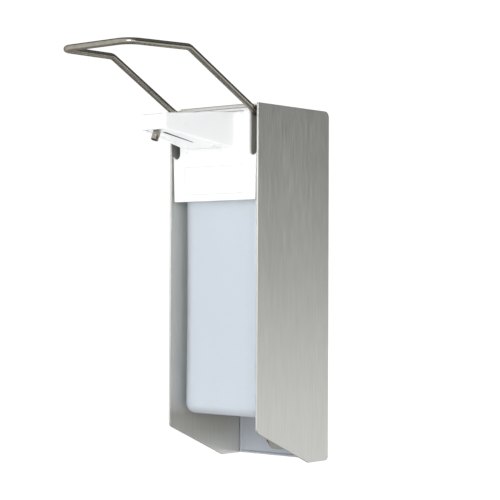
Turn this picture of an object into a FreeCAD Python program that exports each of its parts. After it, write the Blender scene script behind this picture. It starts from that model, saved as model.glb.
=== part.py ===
import FreeCAD, Part
import math
import os

# Wall mounted soap dispenser worked by a long bent wire lever.
#
# Frame: millimetres, +Z up, the wall plane is Y = 0 and the dispenser stands out towards -Y.
# The origin is the centre of the four wall holes on the rear face of the housing.
# A positive turn of the lever about +X swings its front bar down.

Vec = FreeCAD.Vector
X_AXIS = Vec(1, 0, 0)
Y_AXIS = Vec(0, 1, 0)
Z_AXIS = Vec(0, 0, 1)

# ---- driving dimensions -------------------------------------------------------------------

# Housing: one bent stainless sheet
WIDTH = 92.0
DEPTH = 89.0
HEIGHT = 280.0
SHEET = 1.5
TOP_BEND = 5.0            # outside radius where the back turns into the top
BOTTOM_CORNER = 3.0       # rounding of each side's lower rear corner
TOP_SETBACK = 1.0         # the top ends this much behind the side edges
NOTCH_DEPTH = 7.0         # reach of the arm notches into the top
LIP_DROP = 1.4            # height of the lip under the top's front edge
LIP_BEND = 1.2            # outside radius of the lip's bend
FRONT_CUT_RISE = 27.8     # height of the slanted cut at the front edge of each side
BOTTOM_EDGE = 25.4        # what the slanted cut leaves of each side's bottom edge
CUT_CORNER = 5.0          # rounding where the slanted cut meets the front edge

# Wall fixing
HOLE_RADIUS = 2.75
HOLE_SPACING_X = 60.0
HOLE_SPACING_Z = 200.0

# Lever: bent wire, one loop with two arms
WIRE = 2.5                # wire radius
ARM_X = 40.0              # distance of each arm from the middle plane
PIVOT_Y = -14.0
PIVOT_Z = 128.0
KNEE_Y = -73.9            # where the level inner run turns up towards the slot
ELBOW = (39.6, -160.5, 174.5)
BAR_CORNER = (34.5, -218.0, 173.0)
PRESS_ANGLE = 24.0        # full travel of the lever in degrees

# Pump, on a vertical axis through the bottle's neck
PUMP_Y = -46.0
STROKE_PER_RADIAN = 35.6  # travel of the crosshead for one radian of lever turn
BORE = 5.5                # cylinder bore radius
ROD = 2.5                 # piston rod radius
RUNNING = 0.05            # radial clearance of running fits
GAP = 0.3                 # clearance between parts that pass each other

# Bottle
BOTTLE_HALF = 41.0
BOTTLE_FRONT = -82.0
BOTTLE_BACK = -10.0
BOTTLE_BOTTOM = -102.0
BOTTLE_SHOULDER = 76.0
BOTTLE_CORNER = 13.0
BOTTLE_HEEL = 8.0
BOTTLE_TOP_ROUND = 6.0
BOTTLE_WALL = 1.0
NECK_RADIUS = 20.0
NECK_BORE = 17.5
NECK_BASE = 79.0
NECK_TOP = 88.0

# Front head: plate and spout in one moulding
HEAD_FRONT = -88.0
HEAD_THICK = 3.0
HEAD_BOTTOM = 66.0
HEAD_TOP = 137.0
HEAD_HALF_BOTTOM = 42.05
HEAD_HALF_TOP = 43.4
SLOT_X = 39.9
SLOT_RADIUS = 3.7
SLOT_END = 103.9          # centre of the round lower end of each arm slot
SPOUT_TIP_Y = -157.2
SPOUT_TIP_HALF = 12.0
SPOUT_ROOT_HALF = 24.6
SPOUT_TIP_LOW = 116.7
SPOUT_TIP_HIGH = 128.4
SPOUT_ROOT_LOW = 105.1
SPOUT_ROOT_HIGH = 134.6
SPOUT_WALL = 2.0

# ---- worked out from the driving dimensions -------------------------------------------------

HALF_W = WIDTH / 2
INNER_X = HALF_W - SHEET
TOP = HEIGHT / 2
BOTTOM = -HEIGHT / 2
UNDER_TOP = TOP - SHEET
BACK_FACE = -SHEET        # front face of the housing's back sheet
SLOT_INNER = SLOT_X - SLOT_RADIUS
STROKE = STROKE_PER_RADIAN * math.radians(PRESS_ANGLE)


# ---- shape helpers --------------------------------------------------------------------------

def block(x0, x1, y0, y1, z0, z1):
    """Axis-aligned box between two corners."""
    return Part.makeBox(x1 - x0, y1 - y0, z1 - z0, Vec(x0, y0, z0))


def rod_z(x, y, z0, z1, radius):
    """Vertical cylinder."""
    return Part.makeCylinder(radius, z1 - z0, Vec(x, y, z0), Z_AXIS)


def rod_y(x, z, y0, y1, radius):
    """Cylinder along Y, from y0 to the larger y1."""
    return Part.makeCylinder(radius, y1 - y0, Vec(x, y0, z), Y_AXIS)


def rod_x(y, z, x0, x1, radius):
    """Cylinder along X, from x0 to the larger x1."""
    return Part.makeCylinder(radius, x1 - x0, Vec(x0, y, z), X_AXIS)


def ring_z(x, y, z0, z1, inner, outer):
    """Vertical ring."""
    return rod_z(x, y, z0, z1, outer).cut(rod_z(x, y, z0 - 1, z1 + 1, inner))


def prism(points, direction):
    """Closed polygon pushed along a vector."""
    corners = [Vec(*p) for p in points]
    return Part.Face(Part.makePolygon(corners + corners[:1])).extrude(direction)


def prism_x(points, x0, x1):
    """Polygon of (y, z) points between two X planes."""
    return prism([(x0, y, z) for y, z in points], Vec(x1 - x0, 0, 0))


def prism_y(points, y0, y1):
    """Polygon of (x, z) points between two Y planes."""
    return prism([(x, y0, z) for x, z in points], Vec(0, y1 - y0, 0))


def prism_z(points, z0, z1):
    """Polygon of (x, y) points between two Z planes."""
    return prism([(x, y, z0) for x, y in points], Vec(0, 0, z1 - z0))


def edges_near(shape, x=None, y=None, z=None, along=None, tol=0.05):
    """Straight edges along a direction whose middle lies at the given coordinates."""
    found = []
    for edge in shape.Edges:
        middle = edge.CenterOfMass
        if x is not None and abs(middle.x - x) > tol:
            continue
        if y is not None and abs(middle.y - y) > tol:
            continue
        if z is not None and abs(middle.z - z) > tol:
            continue
        if along is not None:
            first = edge.Vertexes[0].Point
            last = edge.Vertexes[-1].Point
            run = last.sub(first)
            if run.Length < 1e-6 or abs(run.dot(along)) < 0.99 * run.Length:
                continue
        found.append(edge)
    return found


def mirrored(shape):
    """The same shape on the other side of the middle plane."""
    return shape.mirror(Vec(0, 0, 0), X_AXIS)


def both_sides(shape):
    """A shape and its mirror image as a group of two solids."""
    return Part.makeCompound([shape, mirrored(shape)])


def rounded_path(points, radii):
    """Wire of straight runs joined by tangent arcs, one radius for each inner point."""
    corners = [Vec(*p) for p in points]
    edges = []
    start = corners[0]
    for before, corner, after, radius in zip(corners, corners[1:], corners[2:], radii):
        back = before.sub(corner).normalize()
        ahead = after.sub(corner).normalize()
        half = back.getAngle(ahead) / 2
        reach = radius / math.tan(half)
        bisector = back.add(ahead).normalize()
        entry = corner.add(Vec(back).multiply(reach))
        leave = corner.add(Vec(ahead).multiply(reach))
        depth = radius / math.sin(half) - radius
        middle = corner.add(Vec(bisector).multiply(depth))
        edges.append(Part.LineSegment(start, entry).toShape())
        edges.append(Part.Arc(entry, middle, leave).toShape())
        start = leave
    edges.append(Part.LineSegment(start, corners[-1]).toShape())
    return Part.Wire(edges)


def round_bar(path, radius):
    """Round section carried along a path."""
    first = path.OrderedEdges[0]
    start = first.valueAt(first.FirstParameter)
    run = first.tangentAt(first.FirstParameter)
    section = Part.Wire(Part.makeCircle(radius, start, run))
    return path.makePipeShell([section], True, True)


def screw_y(x, z, head_y, head_radius, head_depth, shank_radius, shank_length):
    """Cross-recess screw pointing at the wall: its head's front face lies at head_y."""
    head = rod_y(x, z, head_y, head_y + head_depth, head_radius)
    head = head.makeFillet(head_depth * 0.4, edges_near(head, y=head_y)[:1])
    shank = rod_y(x, z, head_y + head_depth, head_y + head_depth + shank_length, shank_radius)
    recess_arm = head_radius * 0.55
    recess_half = head_radius * 0.12
    slot_a = block(x - recess_arm, x + recess_arm, head_y - 1, head_y + head_depth * 0.5,
                   z - recess_half, z + recess_half)
    slot_b = block(x - recess_half, x + recess_half, head_y - 1, head_y + head_depth * 0.5,
                   z - recess_arm, z + recess_arm)
    return head.fuse(shank).cut(slot_a).cut(slot_b)


# ---- housing and what is fixed to its back --------------------------------------------------

def wall_holes(y0, y1):
    """The four round wall holes as cylinders to cut away."""
    holes = []
    for sx in (-1, 1):
        for sz in (-1, 1):
            holes.append(rod_y(sx * HOLE_SPACING_X / 2, sz * HOLE_SPACING_Z / 2, y0, y1, HOLE_RADIUS))
    return holes


RIVET_PLACES = [(-16.0, -114.0), (16.0, -114.0), (-30.0, 40.0), (30.0, 40.0)]
RIVET_SHANK = 1.75


def housing_shell():
    """Back, two sides and top; open at the front and below, lower front corners cut off."""
    outline = [(0, BOTTOM), (-BOTTOM_EDGE, BOTTOM), (-DEPTH, BOTTOM + FRONT_CUT_RISE),
               (-DEPTH, TOP), (0, TOP)]
    shell = prism_x(outline, -HALF_W, HALF_W)
    shell = shell.makeFillet(TOP_BEND, edges_near(shell, y=0, z=TOP, along=X_AXIS))
    shell = shell.makeFillet(CUT_CORNER,
                             edges_near(shell, y=-DEPTH, z=BOTTOM + FRONT_CUT_RISE, along=X_AXIS))
    shell = shell.makeFillet(BOTTOM_CORNER, edges_near(shell, y=0, z=BOTTOM, along=X_AXIS))
    inside = block(-INNER_X, INNER_X, -DEPTH - 5, BACK_FACE, BOTTOM - 5, UNDER_TOP)
    inside = inside.makeFillet(TOP_BEND - SHEET,
                               edges_near(inside, y=BACK_FACE, z=UNDER_TOP, along=X_AXIS))
    shell = shell.cut(inside)
    # The top sheet's front edge is folded down as a low lip and notched for the lever arms
    top_front = -DEPTH + TOP_SETBACK
    lip = block(-SLOT_INNER, SLOT_INNER, top_front, top_front + SHEET, UNDER_TOP - LIP_DROP, TOP)
    shell = shell.cut(block(-INNER_X, INNER_X, -DEPTH - 5, top_front, UNDER_TOP - 1, TOP + 1))
    shell = shell.fuse(lip).removeSplitter()
    shell = shell.makeFillet(LIP_BEND, edges_near(shell, y=top_front, z=TOP, along=X_AXIS))
    for side in (-1, 1):
        low, high = sorted((side * SLOT_INNER, side * INNER_X))
        shell = shell.cut(block(low, high, -DEPTH - 5, -DEPTH + NOTCH_DEPTH, UNDER_TOP - 1, TOP + 1))
    for hole in wall_holes(BACK_FACE - 1, 1):
        shell = shell.cut(hole)
    for x, z in RIVET_PLACES:
        shell = shell.cut(rod_y(x, z, BACK_FACE - 1, 1, RIVET_SHANK))
    return shell


CARRIER_HALF = INNER_X - 0.3
CARRIER_FRONT = -3.2
CARRIER_TOP = 134.0
RIM = 2.0                 # width of the raised rim round the carrier
RIM_FRONT = -3.9
WINDOW_LOW = -134.0
WINDOW_HIGH = -124.0
WINDOW_WAIST = -128.0     # below this height the window narrows
WINDOW_HALF_LOW = 9.0
WINDOW_HALF_HIGH = 14.0
DRAIN_X = 33.6            # distance of the drain cuts from the middle plane


def tapered_outline(half_low, half_high, low, waist, high):
    """Outline of a straight-sided shape that narrows below its waist."""
    return [(-half_low, low), (half_low, low), (half_high, waist), (half_high, high),
            (-half_high, high), (-half_high, waist)]


def back_carrier():
    """Plastic carrier plate on the back sheet, with a raised rim at the sides and below."""
    floor = BOTTOM + 0.2
    plate = block(-CARRIER_HALF, CARRIER_HALF, CARRIER_FRONT, BACK_FACE, floor, CARRIER_TOP)
    rim = block(-CARRIER_HALF, CARRIER_HALF, RIM_FRONT, CARRIER_FRONT, floor, CARRIER_TOP)
    rim = rim.cut(block(-CARRIER_HALF + RIM, CARRIER_HALF - RIM, RIM_FRONT - 1, CARRIER_FRONT + 1,
                        floor + RIM, CARRIER_TOP + 1))
    rim = rim.makeChamfer(0.5, edges_near(rim, y=RIM_FRONT, z=floor + RIM, along=X_AXIS))
    plate = plate.fuse(rim).removeSplitter()
    # Window behind the tongue of the bottle rest
    window = tapered_outline(WINDOW_HALF_LOW, WINDOW_HALF_HIGH, WINDOW_LOW, WINDOW_WAIST, WINDOW_HIGH)
    plate = plate.cut(prism_y(window, RIM_FRONT - 1, BACK_FACE + 1))
    # Small slanted drain cuts in the bottom rim
    for side in (-1, 1):
        x = side * DRAIN_X
        cut = [(x - 0.5, floor - 1), (x + 0.5, floor - 1), (x + 2.2, floor + 2.6), (x + 1.2, floor + 2.6)]
        plate = plate.cut(prism_y(cut, RIM_FRONT - 1, BACK_FACE + 1))
    for hole in wall_holes(RIM_FRONT - 1, 1):
        plate = plate.cut(hole)
    for x, z in RIVET_PLACES:
        plate = plate.cut(rod_y(x, z, RIM_FRONT - 1, 1, RIVET_SHANK))
    for x, z in BEARING_SCREWS + BRACKET_SCREWS:
        plate = plate.cut(rod_y(x, z, RIM_FRONT - 1, BACK_FACE + 1, SCREW_CORE))
    return plate


REST_SHEET = 1.2
REST_SHELF_FRONT = -52.0
REST_SHELF_HALF = 28.0
REST_FLANGE_HALF = 24.0
REST_FLANGE_LOW = -123.8
REST_TOP = BOTTLE_BOTTOM
BUFFER_FRONT = -5.2
BUFFER_FIT = 0.2
TONGUE_HALF_LOW = 8.0
TONGUE_HALF_HIGH = 11.6
TONGUE_LOW = -133.8
TONGUE_HIGH = -122.6


def rest_buffer():
    """Black rubber pad that fills the carrier's window and backs the bottle rest's tongue."""
    outline = tapered_outline(WINDOW_HALF_LOW - BUFFER_FIT, WINDOW_HALF_HIGH - BUFFER_FIT,
                              WINDOW_LOW + BUFFER_FIT, WINDOW_WAIST, WINDOW_HIGH - BUFFER_FIT)
    return prism_y(outline, BUFFER_FRONT, BACK_FACE)


def bottle_rest():
    """Folded stainless bracket: a flange on the carrier with a tongue, and a shelf for the bottle."""
    back = -REST_SHEET + CARRIER_FRONT
    front = BUFFER_FRONT - REST_SHEET
    flange = block(-REST_FLANGE_HALF, REST_FLANGE_HALF, back, CARRIER_FRONT, REST_FLANGE_LOW, REST_TOP)
    tongue = tapered_outline(TONGUE_HALF_LOW, TONGUE_HALF_HIGH, TONGUE_LOW, WINDOW_WAIST, TONGUE_HIGH)
    tongue = prism_y(tongue, front, BUFFER_FRONT)
    step = block(-TONGUE_HALF_HIGH, TONGUE_HALF_HIGH, front, CARRIER_FRONT, REST_FLANGE_LOW, TONGUE_HIGH)
    shelf = block(-REST_SHELF_HALF, REST_SHELF_HALF, REST_SHELF_FRONT, CARRIER_FRONT,
                  REST_TOP - REST_SHEET, REST_TOP)
    shelf = shelf.makeFillet(8.0, edges_near(shelf, y=REST_SHELF_FRONT, along=Z_AXIS))
    rest = flange.fuse([tongue, step, shelf]).removeSplitter()
    for x, z in RIVET_PLACES[:2]:
        rest = rest.cut(rod_y(x, z, back - 1, CARRIER_FRONT + 1, RIVET_SHANK))
    return rest


def rivets():
    """Domed rivets through the bottle rest, the carrier and the housing's back."""
    group = []
    for index, (x, z) in enumerate(RIVET_PLACES):
        seat = CARRIER_FRONT - (REST_SHEET if index < 2 else 0)
        dome = Part.makeSphere(4.0, Vec(x, seat + 2.6, z))
        dome = dome.common(block(x - 4, x + 4, seat - 4, seat, z - 4, z + 4))
        group.append(dome.fuse(rod_y(x, z, seat, -0.1, RIVET_SHANK)))
    return Part.makeCompound(group)


# ---- lever and its bearings ----------------------------------------------------------------

PIN_END = 22.5
BEARING_LOW_X = 26.0
BEARING_HIGH_X = 33.0
BEARING_FRONT = -21.0
BEARING_LOW = 116.0
BEARING_HIGH = 133.5
BEARING_SCREWS = [(-29.5, 119.5), (29.5, 119.5)]
SCREW_CORE = 1.5


def lever_arm():
    """One bent wire: pin, level inner run, rising arm, front bar, and the same mirrored."""
    half = [(PIN_END, PIVOT_Y, PIVOT_Z), (ARM_X, PIVOT_Y, PIVOT_Z), (ARM_X, KNEE_Y, PIVOT_Z),
            ELBOW, BAR_CORNER]
    other = [(-x, y, z) for x, y, z in reversed(half)]
    bends = [6.0, 14.0, 9.0, 11.0]
    path = rounded_path(half + other, bends + bends[::-1])
    return round_bar(path, WIRE)


def bearing_block(side):
    """Acetal block on the carrier that one lever pin turns in."""
    body = block(BEARING_LOW_X, BEARING_HIGH_X, BEARING_FRONT, CARRIER_FRONT, BEARING_LOW, BEARING_HIGH)
    body = body.makeFillet(5.0, edges_near(body, y=BEARING_FRONT, along=X_AXIS))
    body = body.cut(rod_x(PIVOT_Y, PIVOT_Z, BEARING_LOW_X - 1, BEARING_HIGH_X + 1, WIRE + RUNNING))
    x, z = BEARING_SCREWS[1]
    body = body.cut(rod_y(x, z, BEARING_FRONT - 1, CARRIER_FRONT - 5, 2.9))
    body = body.cut(rod_y(x, z, BEARING_FRONT - 1, CARRIER_FRONT + 1, SCREW_CORE))
    return body if side > 0 else mirrored(body)


def retaining_rings():
    """Push-on spring rings on the inner ends of the lever's pins."""
    ring = rod_x(PIVOT_Y, PIVOT_Z, 24.6, 25.6, 5.0)
    ring = ring.cut(rod_x(PIVOT_Y, PIVOT_Z, 24.0, 26.0, WIRE))
    for turn in range(3):
        angle = math.radians(90 + 120 * turn)
        notch = rod_x(PIVOT_Y + 3.6 * math.cos(angle), PIVOT_Z + 3.6 * math.sin(angle), 24.0, 26.0, 0.8)
        ring = ring.cut(notch)
    return both_sides(ring)


def bearing_screws():
    """One screw through each bearing block into the carrier."""
    x, z = BEARING_SCREWS[1]
    seat = CARRIER_FRONT - 5
    return both_sides(screw_y(x, z, seat - 2.2, 2.7, 2.2, SCREW_CORE, 6.4))


# ---- moving pump parts ---------------------------------------------------------------------

PAD_CROWN = 4.0
PAD_TOP = PIVOT_Z - WIRE - GAP
BEAM_TOP = PAD_TOP - 3.2
BEAM_LOW = BEAM_TOP - 6.0
HUB_RADIUS = 8.0
HUB_LOW = 110.0
HUB_TOP = 126.0
SPRING_SEAT = 94.0
SPRING_TOP = 122.0
ROD_TOP = 132.0
PISTON_LOW = 72.0
PISTON_TOP = 79.7


def crosshead():
    """Cross bar under both arms, with crowned pads, inner guide lips and a hub for the rod."""
    beam = block(-ARM_X - 3, ARM_X + 3, PUMP_Y - 4, PUMP_Y + 4, BEAM_LOW, BEAM_TOP)
    beam = beam.makeFillet(2.0, edges_near(beam, y=PUMP_Y - 4, z=BEAM_LOW, along=X_AXIS)
                           + edges_near(beam, y=PUMP_Y + 4, z=BEAM_LOW, along=X_AXIS))
    body = beam.fuse(rod_z(0, PUMP_Y, HUB_LOW, HUB_TOP, HUB_RADIUS))
    for side in (-1, 1):
        low, high = sorted((side * (ARM_X - 3.0), side * (ARM_X + 3.0)))
        pad = rod_x(PUMP_Y, PAD_TOP - PAD_CROWN, low, high, PAD_CROWN)
        pad = pad.common(block(low, high, PUMP_Y - 4, PUMP_Y + 4, BEAM_LOW + 1, PAD_TOP + 1))
        low, high = sorted((side * (ARM_X - 5.2), side * (ARM_X - 3.2)))
        lip = block(low, high, PUMP_Y - 3, PUMP_Y + 3, BEAM_TOP - 1, PIVOT_Z + 1)
        lip = lip.makeFillet(1.5, edges_near(lip, y=PUMP_Y - 3, z=PIVOT_Z + 1, along=X_AXIS)
                             + edges_near(lip, y=PUMP_Y + 3, z=PIVOT_Z + 1, along=X_AXIS))
        body = body.fuse([pad, lip])
    body = body.removeSplitter()
    body = body.cut(rod_z(0, PUMP_Y, HUB_LOW - 1, SPRING_TOP, 6.7))
    return body.cut(rod_z(0, PUMP_Y, HUB_LOW, HUB_TOP + 1, ROD))


def piston_rod():
    """Stainless rod with a shoulder below the hub and a groove for the piston."""
    rod = rod_z(0, PUMP_Y, PISTON_LOW + 1.5, ROD_TOP, ROD)
    rod = rod.makeChamfer(0.5, edges_near(rod, z=ROD_TOP)[:1])
    groove = ring_z(0, PUMP_Y, PISTON_LOW + 3.2, PISTON_LOW + 4.6, ROD - 0.5, ROD + 1)
    return rod.cut(groove)


def rod_nut():
    """Hexagon nut that holds the crosshead on the rod."""
    corners = []
    for step in range(6):
        angle = math.radians(60 * step)
        corners.append((4.6 * math.cos(angle), PUMP_Y + 4.6 * math.sin(angle)))
    nut = prism_z(corners, HUB_TOP, HUB_TOP + 4)
    bevel = Part.makeCone(6.4, 4.1, 2.3, Vec(0, PUMP_Y, HUB_TOP + 1.7), Z_AXIS)
    bevel = bevel.fuse(rod_z(0, PUMP_Y, HUB_TOP, HUB_TOP + 1.7, 6.4))
    return nut.common(bevel).cut(rod_z(0, PUMP_Y, HUB_TOP - 1, HUB_TOP + 5, ROD))


def piston():
    """Plastic piston snapped on the rod's groove, with a groove for its own seal."""
    body = rod_z(0, PUMP_Y, PISTON_LOW, PISTON_TOP, BORE - 0.3)
    body = body.cut(rod_z(0, PUMP_Y, PISTON_LOW + 1.5, PISTON_TOP + 1, ROD))
    snap = ring_z(0, PUMP_Y, PISTON_LOW + 3.2, PISTON_LOW + 4.6, ROD - 0.5, ROD + 0.5)
    body = body.fuse(snap).removeSplitter()
    return body.cut(ring_z(0, PUMP_Y, PISTON_LOW + 3, PISTON_LOW + 5.4, BORE - 1.5, BORE + 1))


def piston_seal():
    """Rubber lip ring in the piston's groove."""
    return ring_z(0, PUMP_Y, PISTON_LOW + 3.05, PISTON_LOW + 5.35, BORE - 1.5, BORE - RUNNING)


def return_spring():
    """Coil spring between the rod guide and the hub, round the rod."""
    wire_radius = 0.6
    mean_radius = 5.3
    turns = 8
    height = SPRING_TOP - SPRING_SEAT - 2 * wire_radius - 0.1
    pitch = height / turns
    base = SPRING_SEAT + wire_radius + 0.05
    helix = Part.makeLongHelix(pitch, height, mean_radius, 0)
    start = Vec(mean_radius, 0, 0)
    run = Vec(0, 2 * math.pi * mean_radius, pitch)
    section = Part.Wire(Part.makeCircle(wire_radius, start, run))
    coil = Part.Wire(helix.Edges).makePipeShell([section], True, True)
    coil.translate(Vec(0, PUMP_Y, base))
    return coil


# ---- fixed pump parts ----------------------------------------------------------------------

CYLINDER_OUT = 7.2
CYLINDER_LOW = 54.0
FLANGE_LOW = 89.0
FLANGE_TOP = 91.5
RISER_Y = -58.0
RISER_OUT = 2.25
RISER_IN = 1.9
VALVE_LOW = 40.0
GUIDE_LOW = 80.0
GUIDE_PLUG = 6.4
BALL = 2.5
SEAT_BORE = 1.6
SUCTION_SEAT = 44.5      # narrow end of the suction ball's cone
DELIVERY_SEAT = 51.0


def pump_cylinder():
    """Cylinder that hangs in the bottle's neck from a wide flange."""
    body = rod_z(0, PUMP_Y, CYLINDER_LOW, FLANGE_TOP, CYLINDER_OUT)
    body = body.fuse(rod_z(0, PUMP_Y, FLANGE_LOW, FLANGE_TOP, NECK_RADIUS - 0.3))
    body = body.cut(rod_z(0, PUMP_Y, CYLINDER_LOW - 1, GUIDE_LOW, BORE))
    body = body.cut(rod_z(0, PUMP_Y, GUIDE_LOW, FLANGE_TOP + 1, GUIDE_PLUG))
    return body.cut(rod_z(0, RISER_Y, FLANGE_LOW - 1, FLANGE_TOP + 1, RISER_OUT))


def rod_guide():
    """Bush that closes the cylinder, guides the rod and carries the spring."""
    body = rod_z(0, PUMP_Y, GUIDE_LOW, FLANGE_TOP, GUIDE_PLUG)
    body = body.fuse(rod_z(0, PUMP_Y, FLANGE_TOP, SPRING_SEAT, 8.6))
    return body.cut(rod_z(0, PUMP_Y, GUIDE_LOW - 1, SPRING_SEAT + 1, ROD + RUNNING))


def neck_gasket():
    """Rubber ring between the bottle's mouth and the pump flange."""
    return ring_z(0, PUMP_Y, NECK_TOP, FLANGE_LOW, NECK_BORE, NECK_RADIUS - 0.3)


COLLAR_OUT = 23.0
COLLAR_LOW = 79.0
COLLAR_TOP = 93.2


def pump_collar():
    """Ribbed union nut that clamps the pump flange on the bottle's neck."""
    body = rod_z(0, PUMP_Y, COLLAR_LOW, COLLAR_TOP, COLLAR_OUT)
    body = body.cut(rod_z(0, PUMP_Y, COLLAR_LOW - 1, FLANGE_TOP, NECK_RADIUS))
    body = body.cut(rod_z(0, PUMP_Y, FLANGE_TOP - 1, COLLAR_TOP + 1, 15.5))
    grooves = 30
    for step in range(grooves):
        angle = 2 * math.pi * step / grooves
        x = (COLLAR_OUT + 0.3) * math.cos(angle)
        y = PUMP_Y + (COLLAR_OUT + 0.3) * math.sin(angle)
        body = body.cut(rod_z(x, y, COLLAR_LOW + 2, COLLAR_TOP - 1.5, 0.9))
    return body


def valve_block():
    """Block under the cylinder: suction seat and chamber, and a side lobe to the delivery valve."""
    body = rod_z(0, PUMP_Y, VALVE_LOW, CYLINDER_LOW, CYLINDER_OUT)
    lobe = rod_z(0, RISER_Y, VALVE_LOW + 2, CYLINDER_LOW - 4, 4.5)
    bridge = block(-4.5, 4.5, RISER_Y, PUMP_Y, VALVE_LOW + 2, CYLINDER_LOW - 4)
    body = body.fuse([lobe, bridge]).removeSplitter()
    body = body.cut(rod_z(0, PUMP_Y, VALVE_LOW - 1, 43.0, 3.0))
    body = body.cut(rod_z(0, PUMP_Y, 42.0, CYLINDER_LOW + 1, SEAT_BORE))
    seat = Part.makeCone(SEAT_BORE, 3.6, 3.6 - SEAT_BORE, Vec(0, PUMP_Y, SUCTION_SEAT), Z_AXIS)
    body = body.cut(seat)
    body = body.cut(rod_z(0, PUMP_Y, SUCTION_SEAT + 3.6 - SEAT_BORE, CYLINDER_LOW + 1, 3.6))
    body = body.cut(rod_y(0, 47.6, RISER_Y, PUMP_Y, 1.1))
    return body.cut(rod_z(0, RISER_Y, 46.0, CYLINDER_LOW, SEAT_BORE))


def ball_cage():
    """Perforated disc that limits the suction ball's lift."""
    disc = rod_z(0, PUMP_Y, 52.6, CYLINDER_LOW, 3.6)
    for turn in range(4):
        angle = math.radians(45 + 90 * turn)
        disc = disc.cut(rod_z(2.0 * math.cos(angle), PUMP_Y + 2.0 * math.sin(angle), 52.0, 55.0, 0.9))
    return disc


def ball(y, seat_z):
    """Steel ball resting on the cone of a valve seat."""
    # The cone's flanks stand at 45 degrees, so its apex lies SEAT_BORE below its narrow end
    height = seat_z - SEAT_BORE + BALL * math.sqrt(2) + 0.02
    return Part.makeSphere(BALL, Vec(0, y, height))


def delivery_valve():
    """Small turned valve body on the lobe, with the delivery seat, chamber and riser socket."""
    body = rod_z(0, RISER_Y, 50.0, 64.0, 4.45)
    body = body.cut(rod_z(0, RISER_Y, 49.0, DELIVERY_SEAT + 1, SEAT_BORE))
    seat = Part.makeCone(SEAT_BORE, 3.4, 3.4 - SEAT_BORE, Vec(0, RISER_Y, DELIVERY_SEAT), Z_AXIS)
    body = body.cut(seat)
    body = body.cut(rod_z(0, RISER_Y, DELIVERY_SEAT + 3.4 - SEAT_BORE, 60.0, 3.4))
    body = body.cut(rod_z(0, RISER_Y, 59.0, 65.0, RISER_OUT))
    return body


NOZZLE_MOUTH = (0, -154.9, 109.3)
NOZZLE_BEND = (0, -149.5, 122.3)
RISER_BEND = (0, RISER_Y, 117.2)


def outlet_tube():
    """Stainless tube: up out of the delivery valve, forward through the spout, down to the mouth."""
    points = [(0, RISER_Y, 60.0), RISER_BEND, NOZZLE_BEND, NOZZLE_MOUTH]
    path = rounded_path(points, [9.0, 6.5])
    return round_bar(path, RISER_OUT).cut(round_bar(path, RISER_IN))


def along_nozzle(distance):
    """Point on the nozzle's line, measured back from its mouth."""
    mouth = Vec(*NOZZLE_MOUTH)
    back = Vec(*NOZZLE_BEND).sub(mouth).normalize()
    return mouth.add(back.multiply(distance))


def outlet_nozzle():
    """Stainless sleeve pressed over the tube's end, slightly rounded at its mouth."""
    mouth = Vec(*NOZZLE_MOUTH)
    run = Vec(*NOZZLE_BEND).sub(mouth).normalize()
    sleeve = Part.makeCylinder(2.9, 7.4, along_nozzle(-0.4), run)
    ends = [e for e in sleeve.Edges if e.CenterOfMass.distanceToPoint(along_nozzle(-0.4)) < 0.1]
    sleeve = sleeve.makeFillet(0.4, ends[:1])
    return sleeve.cut(Part.makeCylinder(RISER_OUT, 9.0, along_nozzle(-1.0), run))


def dip_tube():
    """Suction tube from the valve block down to the strainer."""
    tube = rod_z(0, PUMP_Y, -92.0, 43.0, 3.0)
    return tube.cut(rod_z(0, PUMP_Y, -93.0, 44.0, 2.0))


def dip_strainer():
    """Slotted cap on the lower end of the dip tube."""
    cap = rod_z(0, PUMP_Y, -98.0, -84.0, 4.6)
    cap = cap.cut(rod_z(0, PUMP_Y, -92.0, -83.0, 3.0))
    cap = cap.cut(rod_z(0, PUMP_Y, -96.5, -91.0, 2.0))
    for turn in range(2):
        slot = block(-6, 6, PUMP_Y - 0.6, PUMP_Y + 0.6, -99.0, -95.0)
        slot.rotate(Vec(0, PUMP_Y, 0), Z_AXIS, 90 * turn)
        cap = cap.cut(slot)
    return cap


# ---- bottle --------------------------------------------------------------------------------

def bottle_solid(inset, low, high):
    """Rounded rectangular block with a rounded heel and shoulder, inset from the outside."""
    half = BOTTLE_HALF - inset
    body = block(-half, half, BOTTLE_FRONT + inset, BOTTLE_BACK - inset, low, high)
    body = body.makeFillet(BOTTLE_CORNER - inset, edges_near(body, along=Z_AXIS))
    rims = [e for e in body.Edges if abs(e.CenterOfMass.z - low) < 0.01]
    body = body.makeFillet(BOTTLE_HEEL - inset, rims)
    rims = [e for e in body.Edges if abs(e.CenterOfMass.z - high) < 0.01]
    return body.makeFillet(BOTTLE_TOP_ROUND - inset, rims)


def soap_bottle():
    """Blown one litre bottle: rounded body, sloping shoulder, wide neck with two thread beads."""
    outer = bottle_solid(0, BOTTLE_BOTTOM, BOTTLE_SHOULDER)
    inner = bottle_solid(BOTTLE_WALL, BOTTLE_BOTTOM + BOTTLE_WALL, BOTTLE_SHOULDER - BOTTLE_WALL)
    rise = NECK_BASE - BOTTLE_SHOULDER + 1
    cone = Part.makeCone(30.0, NECK_RADIUS, rise, Vec(0, PUMP_Y, BOTTLE_SHOULDER - 1), Z_AXIS)
    outer = outer.fuse([cone, rod_z(0, PUMP_Y, NECK_BASE - 1, NECK_TOP, NECK_RADIUS - 1.2)])
    for z in (82.0, 85.5):
        bead = ring_z(0, PUMP_Y, z - 0.8, z + 0.8, NECK_RADIUS - 2, NECK_RADIUS - 0.35)
        outer = outer.fuse(bead)
    hollow = Part.makeCone(29.0, NECK_BORE, rise, Vec(0, PUMP_Y, BOTTLE_SHOULDER - 2), Z_AXIS)
    inner = inner.fuse([hollow, rod_z(0, PUMP_Y, BOTTLE_SHOULDER - 3, NECK_TOP + 1, NECK_BORE)])
    return outer.cut(inner)


# ---- front head ----------------------------------------------------------------------------

HEAD_BACK = HEAD_FRONT + HEAD_THICK


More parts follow.
